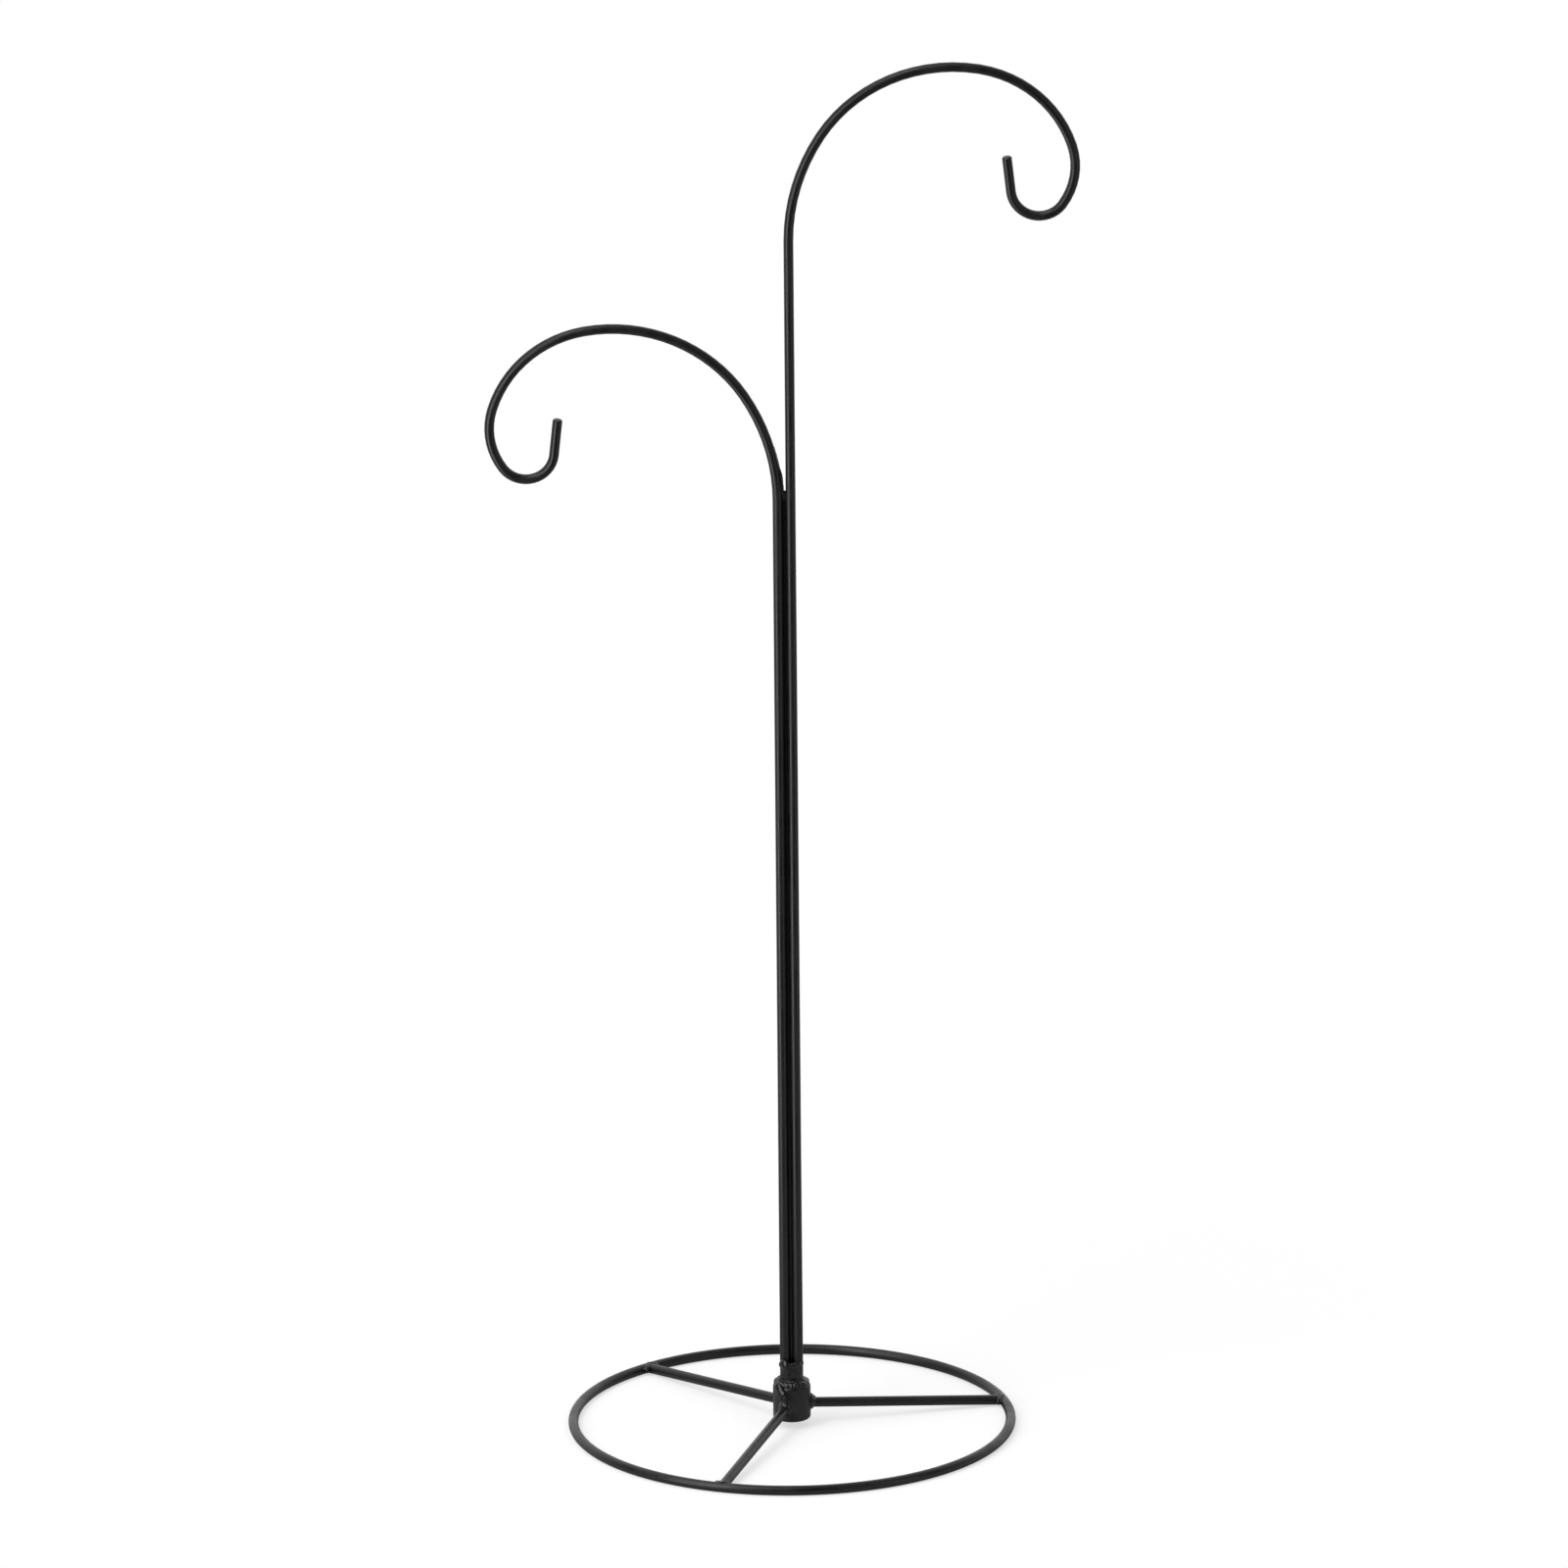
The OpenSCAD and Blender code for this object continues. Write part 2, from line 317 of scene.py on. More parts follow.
def make_dust_group():
    """Settled dust on what faces up, and single specks caught in the coat."""
    group, wire, given, out = new_group(
        "coat_dust",
        [("Amount", "NodeSocketFloat", 0.3),
         ("Film per metre", "NodeSocketFloat", 240.0),
         ("Specks per metre", "NodeSocketFloat", 260.0),
         ("Clean share", "NodeSocketFloat", 0.86)],
        [("Dust", "NodeSocketFloat"), ("Specks", "NodeSocketFloat")],
    )
    place = wire.add("ShaderNodeTexCoord").outputs["Object"]
    facing = wire.add("ShaderNodeSeparateXYZ")
    wire.join(wire.add("ShaderNodeNewGeometry").outputs["Normal"], facing.inputs[0])
    up = wire.spread(facing.outputs["Z"], 0.15, 0.95)
    film = wire.noise(place, given.outputs["Film per metre"], detail=5.0, roughness=0.7)
    settled = wire.scaled(up, wire.spread(film, 0.42, 0.72))
    wire.join(wire.scaled(settled, given.outputs["Amount"]), out.inputs["Dust"])
    cells = wire.add("ShaderNodeTexVoronoi", feature="F1")
    wire.join(place, cells.inputs["Vector"])
    wire.join(given.outputs["Specks per metre"], cells.inputs["Scale"])
    near = wire.spread(cells.outputs["Distance"], 0.05, 0.11, 1.0, 0.0)
    chosen = wire.add("ShaderNodeSeparateColor")
    wire.join(cells.outputs["Color"], chosen.inputs[0])
    rare = wire.maths("GREATER_THAN", chosen.outputs[0], given.outputs["Clean share"])
    wire.join(wire.scaled(near, rare), out.inputs["Specks"])
    return group


def make_rub_group():
    """Breaks a plain mask of where the coat is rubbed into scuffs and short scratches."""
    group, wire, given, out = new_group(
        "coat_rub",
        [("Where", "NodeSocketFloat", 0.0),
         ("Strength", "NodeSocketFloat", 0.6),
         ("Scuffs per metre", "NodeSocketFloat", 900.0),
         ("Scratches per metre", "NodeSocketFloat", 2600.0)],
        [("Rub", "NodeSocketFloat")],
    )
    place = wire.add("ShaderNodeTexCoord").outputs["Object"]
    scuffs = wire.noise(place, given.outputs["Scuffs per metre"], detail=6.0, roughness=0.72)
    # Noise drawn out along one slanting direction makes short lines
    stretched = wire.add("ShaderNodeMapping")
    stretched.inputs["Scale"].default_value = (1.0, 1.0, 0.14)
    stretched.inputs["Rotation"].default_value = (0.5, 0.2, 0.9)
    wire.join(place, stretched.inputs["Vector"])
    lines = wire.noise(stretched.outputs[0], given.outputs["Scratches per metre"], detail=2.0)
    marks = wire.maths("MAXIMUM", wire.spread(scuffs, 0.46, 0.64), wire.spread(lines, 0.60, 0.70))
    worn = wire.scaled(wire.scaled(marks, given.outputs["Where"]), given.outputs["Strength"])
    wire.join(worn, out.inputs["Rub"])
    return group


def shared_group(name, maker):
    """The node group of that name, made the first time that a material asks for it."""
    return bpy.data.node_groups.get(name) or maker()


# ---------------------------------------------------------------- materials


def place_group(wire, name, maker, **values):
    """Places a shared node group in a material, with its inputs set by their labels."""
    node = wire.add("ShaderNodeGroup", node_tree=shared_group(name, maker))
    for label, value in values.items():
        wire.feed(node.inputs[label.replace("_", " ")], value)
    return node


def near_points(wire, place, points, inner, outer):
    """1 within inner of one of the points, fading to 0 at outer."""
    found = None
    for point in points:
        gap = wire.add("ShaderNodeVectorMath", operation="DISTANCE")
        wire.join(place, gap.inputs[0])
        gap.inputs[1].default_value = point
        mask = wire.spread(gap.outputs["Value"], inner, outer, 1.0, 0.0)
        found = mask if found is None else wire.maths("MAXIMUM", found, mask)
    return found


def below_height(wire, place, low, high):
    """1 below low, fading to 0 at high."""
    parts = wire.add("ShaderNodeSeparateXYZ")
    wire.join(place, parts.inputs[0])
    return wire.spread(parts.outputs["Z"], low, high, 1.0, 0.0)


# How far the patches of the coat stray from its colour and its roughness
PATCH_TINTS = (0.72, 1.30)
PATCH_GLOSS = (-0.05, 0.06)
# How much dust, specks, fine patches and rubbing change the colour, roughness and height
DUST_TINT, SPECK_TINT = 0.50, 0.55
FINE_GLOSS, DUST_GLOSS, SPECK_GLOSS, RUB_GLOSS = 0.05, 0.30, 0.25, 0.12
SPECK_HEIGHT, RUB_DEPTH = 0.9, 0.7


def coat_material(name, colour, roughness, rubbed_where, rub_strength, peel_scale=1.0,
                  waves=620.0, dust=0.3):
    """A black powder coat. rubbed_where(wire, place) gives the mask of where it is rubbed."""
    coat = settings("stand_coat")
    material = bpy.data.materials.new(name)
    material.use_nodes = True
    material.diffuse_color = (*colour, 1.0)
    wire = Wiring(material.node_tree)
    wire.tree.nodes.clear()
    shader = wire.add("ShaderNodeBsdfPrincipled")
    output = wire.add("ShaderNodeOutputMaterial")
    wire.join(shader.outputs[0], output.inputs["Surface"])
    shader.inputs["Specular IOR Level"].default_value = coat.specular

    place = wire.add("ShaderNodeTexCoord").outputs["Object"]
    peel = place_group(wire, "coat_peel", make_peel_group, Waves_per_metre=waves)
    sheen = place_group(wire, "coat_sheen", make_sheen_group)
    dusty = place_group(wire, "coat_dust", make_dust_group, Amount=dust)
    where = rubbed_where(wire, place) if rubbed_where else 0.0
    rub = place_group(wire, "coat_rub", make_rub_group, Where=where, Strength=rub_strength)
    patch, fine_patch = sheen.outputs["Patch"], sheen.outputs["Fine patch"]
    film, specks = dusty.outputs["Dust"], dusty.outputs["Specks"]
    worn = rub.outputs["Rub"]

    dark, light = ((*(part * share for part in colour), 1.0) for share in PATCH_TINTS)
    dust_colour = (*coat.dust_colour, 1.0)
    tint = wire.blend(patch, dark, light)
    tint = wire.blend(wire.scaled(film, DUST_TINT), tint, dust_colour)
    tint = wire.blend(wire.scaled(specks, SPECK_TINT), tint, dust_colour)
    tint = wire.blend(worn, tint, (*coat.worn_colour, 1.0))
    wire.join(tint, shader.inputs["Base Color"])

    smooth, rough = (roughness + change for change in PATCH_GLOSS)
    gloss = wire.spread(patch, 0.0, 1.0, smooth, rough)
    gloss = wire.maths("ADD", gloss, wire.scaled(fine_patch, FINE_GLOSS))
    gloss = wire.maths("ADD", gloss, wire.scaled(film, DUST_GLOSS))
    gloss = wire.maths("ADD", gloss, wire.scaled(specks, SPECK_GLOSS))
    gloss = wire.maths("SUBTRACT", gloss, wire.scaled(worn, RUB_GLOSS), clamp=True)
    wire.join(gloss, shader.inputs["Roughness"])

    height = wire.maths("ADD", peel.outputs["Height"], wire.scaled(specks, SPECK_HEIGHT))
    height = wire.maths("SUBTRACT", height, wire.scaled(worn, RUB_DEPTH))
    bump = wire.add("ShaderNodeBump")
    bump.inputs["Strength"].default_value = 1.0
    bump.inputs["Distance"].default_value = coat.peel_depth * peel_scale
    wire.join(height, bump.inputs["Height"])
    wire.join(bump.outputs[0], shader.inputs["Normal"])
    return material


def give_material(piece, material):
    """Puts the material in every slot of the piece, or in a new one."""
    slots = piece.data.materials
    if not slots:
        slots.append(material)
    for number in range(len(slots)):
        slots[number] = material


# ---------------------------------------------------------------- weld beads


# In this part WIDE and LONG are the radii of a puddle across and along its bead.
# Each weld draws its unevenness from its own row of random numbers
FORK_SEED, NECK_SEED, TACK_SEED, HUB_SEED, RING_SEED = 11, 23, 37, 41, 53
# Smallest and largest share by which a puddle strays from its size
SWELL = (0.93, 1.08)
# Bearing in degrees, on the left of the front, at which the neck's upper bead, the run across
# the stem and the pool on the collar start
RUN_BEARING = 222


def deselect():
    bpy.ops.object.select_all(action="DESELECT")


def around(turn, reach, height):
    """The point at that bearing, distance from the middle of the stem, and height."""
    return Vector((math.cos(turn) * reach, math.sin(turn) * reach, height))


def shares(count):
    """That many even steps from 0 to 1."""
    return [number / (count - 1) for number in range(count)]


def add_puddle(place, size, along):
    """One frozen puddle of weld: a ball squashed along the given direction."""
    bpy.ops.mesh.primitive_uv_sphere_add(segments=20, ring_count=12, radius=1.0, location=place)
    puddle = bpy.context.object
    puddle.rotation_mode = "QUATERNION"
    puddle.rotation_quaternion = Vector(along).normalized().to_track_quat("Z", "X")
    puddle.scale = size
    return puddle


def lay_bead(path, widths, lengths, draw):
    """A row of overlapping puddles, given by their radii across and along the path."""
    puddles = []
    for number, point in enumerate(path):
        before = path[max(number - 1, 0)]
        after = path[min(number + 1, len(path) - 1)]
        swell = draw.uniform(*SWELL)
        wide, long = widths[number] * swell, lengths[number] * swell
        puddles.append(add_puddle(point, (wide, wide, long), after - before))
    return puddles


def one_turn(start, count, reach, height, reach_stray, height_stray, draw):
    """Points of one turn round the stem from the bearing start, straying by ranges in mm."""
    path = []
    for number in range(count):
        turn = math.radians(start) + 2 * math.pi * number / count
        strayed = reach + draw.uniform(*reach_stray) * MM
        path.append(around(turn, strayed, height + draw.uniform(*height_stray) * MM))
    return path


def fuse(puddles, name, step, lumps, smoothing=6, lump_size=2.2 * MM):
    """Melts the puddles into one closed bead, evens it and roughens it slightly."""
    deselect()
    for puddle in puddles:
        puddle.select_set(True)
    bead = puddles[0]
    bpy.context.view_layer.objects.active = bead
    bpy.ops.object.join()
    bpy.ops.object.transform_apply(location=True, rotation=True, scale=True)
    bead.name = bead.data.name = name
    melt = bead.modifiers.new("melt", "REMESH")
    melt.mode = "VOXEL"
    melt.voxel_size = step
    even = bead.modifiers.new("even", "SMOOTH")
    even.factor = 0.5
    even.iterations = smoothing
    clouds = bpy.data.textures.new(name + "_lumps", "CLOUDS")
    clouds.noise_scale = lump_size
    clouds.noise_depth = 2
    rough = bead.modifiers.new("rough", "DISPLACE")
    rough.texture = clouds
    rough.texture_coords = "GLOBAL"
    rough.strength = lumps
    rough.mid_level = 0.5
    for modifier in list(bead.modifiers):
        bpy.ops.object.modifier_apply(modifier=modifier.name)
    bpy.data.textures.remove(clouds)
    bpy.ops.object.shade_smooth()
    return bead


def copy_piece(piece, name, change):
    """A copy with its own mesh, moved by the matrix change with its place kept in its mesh."""
    deselect()
    piece.select_set(True)
    bpy.context.view_layer.objects.active = piece
    bpy.ops.object.duplicate(linked=False)
    copy = bpy.context.object
    copy.name = copy.data.name = name
    copy.data.transform(change)
    copy.data.update()
    return copy


def finish_weld(bead, node):
    """Coats the bead and lets it stand for the plain weld of the frame."""
    give_material(bead, bpy.data.materials["weld_powder"])
    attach(bead, "root")
    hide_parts(node)


def spoke_bearings():
    """The bearing of each spoke, under the name that its weld beads carry."""
    sizes = settings("stand_sizes")
    return {
        "rear_right": sizes.right_spoke,
        "rear_left": sizes.left_spoke,
        "front": sizes.front_spoke,
    }


# ---------------------------------------------------------------- operators


# Where a hanger rubs in a curl, from the outer end and the top of the rod
SEAT_IN, SEAT_DOWN = 26.2 * MM, 100.5 * MM
# Distance from the rubbed place within which the coat is worn, and past which it is whole
HOOK_WEAR = (2.0 * MM, 9.0 * MM)
RING_WEAR = (0.15 * MM, 1.1 * MM)
COLLAR_WEAR = (0.6 * MM, 2.2 * MM)


class STAND_OT_coat_steel(bpy.types.Operator):
    """Coat the rods, spokes, ring and collar in satin black powder"""

    bl_idname = "stand.coat_steel"
    bl_label = "Coat Steel"

    def execute(self, context):
        coat = settings("stand_coat")
        rod = tuple(coat.rod_colour)
        tall_seat = (TALL_ROD[1].x - SEAT_IN, FRONT_Y, TALL_ROD[1].z - SEAT_DOWN)
        short_seat = (SHORT_ROD[0].x + SEAT_IN, FRONT_Y, SHORT_ROD[1].z - SEAT_DOWN)

        def hook_wear(wire, place):
            return near_points(wire, place, [tall_seat, short_seat], *HOOK_WEAR)

        def ring_wear(wire, place):
            return below_height(wire, place, *RING_WEAR)

        def collar_wear(wire, place):
            return below_height(wire, place, *(COLLAR[0].z + rise for rise in COLLAR_WEAR))

        finishes = {
            "hook_coat": (["tall_hook_rod", "short_hook_rod"], hook_wear, 0.35),
            "stem_coat": (["back_rod"], None, 0.0),
            "ring_coat": (["base_ring"], ring_wear, 0.5),
            "spoke_coat": (["rear_right_spoke", "rear_left_spoke", "front_spoke"], None, 0.0),
            "collar_coat": (["hub_collar"], collar_wear, 0.3),
        }
        for name, (nodes, wear, strength) in finishes.items():
            material = coat_material(name, rod, coat.rod_roughness, wear, strength)
            for node in nodes:
                give_material(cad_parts[node], material)
        coat_material("weld_powder", tuple(coat.weld_colour), coat.weld_roughness, None, 0.0,
                      peel_scale=1.3, waves=480.0, dust=0.2)
        return {"FINISHED"}


# Puddles stacked in the fork: places to the side, back and up, then radii across and along the
# stack, in mm
FORK_STACK = (
    (0.0, 0.9, -1.2, 3.0, 2.6),
    (0.0, 0.2, 0.4, 2.7, 2.2),
    (0.1, -0.3, 1.6, 1.9, 1.6),
)
# Share of the rod's radius that the stack stands behind the middle of the front rods
FORK_BACK = 0.55
# The run up the short rod: all its puddles, those of its fat part, and those where it narrows
RUN_COUNT, RUN_FAT, RUN_NARROWING = 42, 17, 6
# Its start above the back rod, its step from puddle to puddle, and its place behind the middle
# of the rod, in mm
RUN_START, RUN_STEP, RUN_BACK = 2.0, 0.75, 0.2
RUN_LONG = 1.1 * MM


class STAND_OT_fork_weld(bpy.types.Operator):
    """Lay the weld that closes the fork between the two hook rods"""

    bl_idname = "stand.fork_weld"
    bl_label = "Fork Weld"

    def execute(self, context):
        sizes, weld = settings("stand_sizes"), settings("stand_welds")
        draw = random.Random(FORK_SEED)
        top = sizes.fork_height
        middle_y = FRONT_Y + sizes.rod_radius * FORK_BACK
        path, widths, lengths = [], [], []
        for side, back, up, wide, long in FORK_STACK:
            path.append(Vector((side * MM, middle_y + back * MM, top + up * MM)))
            widths.append(wide * MM)
            lengths.append(long * MM)
        puddles = lay_bead(path, widths, lengths, draw)
        # The run follows the inner side of the short rod, which bends away from the middle
        side_r = sizes.lean_radius + sizes.rod_radius
        side_x = sizes.rod_radius - HALF_PITCH
        path, widths = [], []
        for number in range(RUN_COUNT):
            rise = (RUN_START + RUN_STEP * number) * MM
            bent = top + rise - sizes.lean_height
            lean = math.sqrt(side_r ** 2 - bent ** 2) - side_r
            # It is sunk into the rod, and more so where it is narrow
            narrow = min(1.0, max(0.0, (number - RUN_FAT) / RUN_NARROWING))
            sunk = (0.25 + 0.2 * narrow) * MM
            tail = max(0, number - RUN_FAT - RUN_NARROWING)
            path.append(Vector((side_x + lean - sunk, FRONT_Y + RUN_BACK * MM, top + rise)))
            widths.append((1.5 - 0.6 * narrow - 0.016 * tail) * MM)
        puddles += lay_bead(path, widths, [RUN_LONG] * RUN_COUNT, draw)
        bead = fuse(puddles, "fork_weld_bead", weld.grain * 0.7, weld.roughening * 0.6,
                    smoothing=3)
        finish_weld(bead, "fork_weld")
        return {"FINISHED"}


# Filling of the neck, inside its beads: how far it stays below their top and inside the stem
CORE_BELOW, CORE_INSIDE = 1.5 * MM, 0.3 * MM
# The fillet on the collar: bearing of its start, its puddles, and its middle outside the stem
FOOT_BEARING, FOOT_COUNT, FOOT_OUTSIDE = 205, 38, 1.2 * MM
FOOT_WIDE, FOOT_LONG = 2.75 * MM, 1.8 * MM
# The bead above it: its puddles, how many of them are fat to either side of its start, and its
# middle below the top of the weld and inside the stem
HIGH_COUNT, HIGH_FAT, HIGH_BELOW, HIGH_INSIDE = 34, 2, 2.3 * MM, 1.55 * MM
HIGH_WIDE, HIGH_FAT_WIDE, HIGH_LONG = 1.85 * MM, 2.5 * MM, 1.4 * MM
# The run across the front of the stem: its puddles, its degrees, and how flat a puddle is
CROSS_COUNT, CROSS_SWEEP, CROSS_FLAT = 14, 60, 0.52


class STAND_OT_neck_weld(bpy.types.Operator):
    """Lay the weld that joins the stem to the top of the collar, with the bead above it"""

    bl_idname = "stand.neck_weld"
    bl_label = "Neck Weld"

    def execute(self, context):
        sizes, weld = settings("stand_sizes"), settings("stand_welds")
        draw = random.Random(NECK_SEED)
        base = sizes.collar_top
        core = weld.neck_height - CORE_BELOW
        bpy.ops.mesh.primitive_cylinder_add(
            vertices=48, radius=STEM_R - CORE_INSIDE, depth=core,
            location=(0, 0, base + core / 2))
        puddles = [bpy.context.object]
        # The fillet on the collar, laid in one turn, with its start and stop on the left
        foot = one_turn(FOOT_BEARING, FOOT_COUNT, STEM_R + FOOT_OUTSIDE, base,
                        reach_stray=(-0.25, 0.35), height_stray=(0.1, 0.8), draw=draw)
        puddles += lay_bead(foot, [FOOT_WIDE] * FOOT_COUNT, [FOOT_LONG] * FOOT_COUNT, draw)
        # The bead higher up the stem, fattest where it started on the left rod
        bead_z = base + weld.neck_height - HIGH_BELOW
        high = one_turn(RUN_BEARING, HIGH_COUNT, STEM_R - HIGH_INSIDE, bead_z,
                        reach_stray=(-0.25, 0.25), height_stray=(-0.7, 0.5), draw=draw)
        fat_end = HIGH_COUNT - HIGH_FAT
        widths = [HIGH_WIDE if HIGH_FAT < number < fat_end else HIGH_FAT_WIDE
                  for number in range(HIGH_COUNT)]
        puddles += lay_bead(high, widths, [HIGH_LONG] * HIGH_COUNT, draw)
        # The run that leaves the bead's start and crosses the front of the stem
        for share in shares(CROSS_COUNT):
            outwards = around(math.radians(RUN_BEARING + CROSS_SWEEP * share), 1, 0)
            place = outwards * (STEM_R - (0.35 + 0.5 * share) * MM)
            place.z = bead_z + (0.6 - 8.0 * share ** 1.6) * MM
            swollen = 0.5 * math.sin(math.pi * min(1.0, share * 2))
            wide = (2.9 + swollen - 0.5 * share) * MM
            puddles.append(add_puddle(place, (wide, wide, wide * CROSS_FLAT), outwards))
        bead = fuse(puddles, "neck_weld_bead", weld.grain, weld.roughening, smoothing=7)
        finish_weld(bead, "neck_weld")
        return {"FINISHED"}


# A tack: its puddles, and how far out it lies from where the rods touch, as a share of their
# radius
TACK_PUDDLES, TACK_OUT = 9, 0.72
TACK_LONG = 1.0 * MM


class STAND_OT_tack_welds(bpy.types.Operator):
    """Lay the short tack welds in the grooves at the back of the stem"""

    bl_idname = "stand.tack_welds"
    bl_label = "Tack Welds"

    def execute(self, context):
        sizes, weld = settings("stand_sizes"), settings("stand_welds")
        draw = random.Random(TACK_SEED)
        touch = Vector((HALF_PITCH / 2, (FRONT_Y + BACK_Y) / 2, 0))
        outwards = Vector((BACK_Y - FRONT_Y, HALF_PITCH, 0)).normalized()
        groove = touch + outwards * sizes.rod_radius * TACK_OUT
        # A tack snakes a little and is fattest just below its middle
        path, widths = [], []
        for share in shares(TACK_PUDDLES):
            along = share - 0.5
            wander = outwards * math.sin(along * 9.0) * 0.12 * MM
            path.append(groove + wander + Vector((0, 0, along * weld.tack_length)))
            widths.append((1.72 - 0.9 * abs(along + 0.12)) * MM)
        puddles = lay_bead(path, widths, [TACK_LONG] * TACK_PUDDLES, draw)
        first = fuse(puddles, "stem_tack_bead_pattern", weld.grain * 0.8, weld.roughening * 0.5,
                     smoothing=2, lump_size=1.6 * MM)
        pitch = (weld.tack_high - weld.tack_low) / (weld.tack_count - 1)
        # Every other tack is turned end for end, so that neighbours don't look alike
        flip = Matrix.Translation(groove) @ Matrix.Rotation(math.pi, 4, outwards)
        flip = flip @ Matrix.Translation(-groove)
        to_left = math.pi - 2 * math.atan2(HALF_PITCH, BACK_Y - FRONT_Y)
        for number in range(weld.tack_count):
            lift = Matrix.Translation((0, 0, weld.tack_low + number * pitch))
            places = {
                "right": lift if number % 2 else lift @ flip,
                "left": lift @ Matrix.Rotation(to_left, 4, "Z"),
            }
            for side, place in places.items():
                bead = copy_piece(first, "stem_tack_bead_%s_%d" % (side, number + 1), place)
                finish_weld(bead, "stem_tack_welds")
        bpy.data.objects.remove(first)
        return {"FINISHED"}


# Rings of puddles round a spoke, from the collar outwards: how far each lies outside the bar
# and off the collar, its puddles' radius across it, all in mm, and their number
HUB_RINGS = ((1.15, 0.0, 1.9, 26), (0.5, 1.3, 1.6, 24), (0.0, 2.6, 1.15, 22))
# Their radius along the ring, as a share of that across it, and the ring's start, in radians
# from the top, which keeps the puddles from lying alike on both sides
HUB_LONG, HUB_START = 0.8, 0.3
# The pool down the front of the collar: its puddles, its degrees, its depth below the top of
# the collar in mm, and how flat a puddle is
POOL_COUNT, POOL_SWEEP, POOL_DROP, POOL_FLAT = 16, 54, 14.0, 0.5


class STAND_OT_hub_welds(bpy.types.Operator):
    """Lay the welds round the spokes at the collar, and the pool down the front of the collar"""

    bl_idname = "stand.hub_welds"
    bl_label = "Hub Welds"

    def execute(self, context):
        sizes, weld = settings("stand_sizes"), settings("stand_welds")
        draw = random.Random(HUB_SEED)
        for name, bearing in spoke_bearings().items():
            puddles = []
            for outside, off, wide, count in HUB_RINGS:
                path, widths = [], []
                for number in range(count):
                    turn = 2 * math.pi * number / count + HUB_START
                    # Under the spoke the ring is thinner and closer to the bar
                    above = (1 + math.cos(turn)) / 2
                    radius = sizes.rod_radius + (outside - (1 - above) * 1.1) * MM
                    side = math.sin(turn) * radius
                    reach = math.sqrt(sizes.collar_radius ** 2 - side ** 2) + off * MM
                    reach += draw.uniform(-0.15, 0.25) * MM
                    up = sizes.spoke_height + math.cos(turn) * radius
                    path.append(Vector((reach, side, up)))
                    widths.append(wide * (0.72 + 0.28 * above) * MM)
                puddles += lay_bead(path, widths, [part * HUB_LONG for part in widths], draw)
            bead = fuse(puddles, "hub_weld_bead_" + name, weld.grain, weld.roughening * 1.1,
                        smoothing=10)
            bead.data.transform(Matrix.Rotation(bearing, 4, "Z"))
            finish_weld(bead, "spoke_hub_welds")
        # A broad pool of weld, spread from the fillet on the collar down to the front spoke
        puddles = []
        for share in shares(POOL_COUNT):
            outwards = around(math.radians(RUN_BEARING + POOL_SWEEP * share), 1, 0)
            place = outwards * (sizes.collar_radius - 0.25 * MM)
            place.z = sizes.collar_top - (0.4 + POOL_DROP * share ** 1.1) * MM
            wide = (3.1 + math.sin(math.pi * share)) * MM * draw.uniform(0.97, 1.04)
            puddles.append(add_puddle(place, (wide, wide, wide * POOL_FLAT), outwards))
        bead = fuse(puddles, "hub_weld_bead_run", weld.grain, weld.roughening * 0.6, smoothing=9)
        finish_weld(bead, "spoke_hub_welds")
        return {"FINISHED"}


# The bead over a spoke's end: its puddles, how many degrees it reaches down either side, and
# its puddles' radius along it, as a share of that across it
OVER_COUNT, OVER_REACH, OVER_LONG = 19, 106, 0.9
# Puddles that feather each end out along the ring, as shares of the way
FEATHER_STEPS = (0.0, 0.5, 1.0)


class STAND_OT_ring_welds(bpy.types.Operator):
    """Lay the welds where the spokes meet the base ring"""

    bl_idname = "stand.ring_welds"
    bl_label = "Ring Welds"

    def execute(self, context):
        sizes, weld = settings("stand_sizes"), settings("stand_welds")
        draw = random.Random(RING_SEED)
        bar = sizes.rod_radius
        path, widths = [], []
        for number in range(OVER_COUNT):
            from_top = abs(2 * number / (OVER_COUNT - 1) - 1)
            turn = math.radians(-OVER_REACH + 2 * OVER_REACH * number / (OVER_COUNT - 1))
            aside = abs(math.sin(turn))
            spread = 1.0 + 0.42 * aside ** 3
            path.append(Vector((-bar * aside * spread * 0.92 - 0.15 * MM,
                                math.sin(turn) * bar * spread,
                                bar + math.cos(turn) * (bar - 0.55 * MM))))
            widths.append((1.35 + 0.65 * math.sin(turn) ** 2 - 0.95 * from_top ** 7) * MM)
        puddles = lay_bead(path, widths, [part * OVER_LONG for part in widths], draw)
        # Where the bead slopes down it spreads a little further along the ring
        for side in (-1, 1):
            for out in FEATHER_STEPS:
                place = Vector((-bar + (0.15 + 0.3 * out) * MM,
                                side * (bar + (1.2 + out * 1.5) * MM),
                                bar + (1.5 - out * 0.4) * MM))
                size = (1.35 - 0.55 * out) * MM
                puddles.append(add_puddle(place, (size, size, size * 1.2), (0, 0, 1)))
        first = fuse(puddles, "ring_weld_bead_pattern", weld.grain, weld.roughening * 0.7,
                     smoothing=4)
        for name, bearing in spoke_bearings().items():
            # One of the three is mirrored, so that they don't look alike
            mirrored = name == "rear_left"
            turn_over = Matrix.Diagonal((1, -1 if mirrored else 1, 1, 1))
            place = Matrix.Rotation(bearing, 4, "Z")
            place = place @ Matrix.Translation((sizes.ring_radius, 0, 0))
            bead = copy_piece(first, "ring_weld_bead_" + name, place @ turn_over)
            if mirrored:
                bpy.ops.object.mode_set(mode="EDIT")
                bpy.ops.mesh.select_all(action="SELECT")
                bpy.ops.mesh.normals_make_consistent(inside=False)
                bpy.ops.object.mode_set(mode="OBJECT")
            finish_weld(bead, "spoke_ring_welds")
        bpy.data.objects.remove(first)
        return {"FINISHED"}


# ---------------------------------------------------------------- stage


WHITE = (1.0, 1.0, 1.0, 1.0)
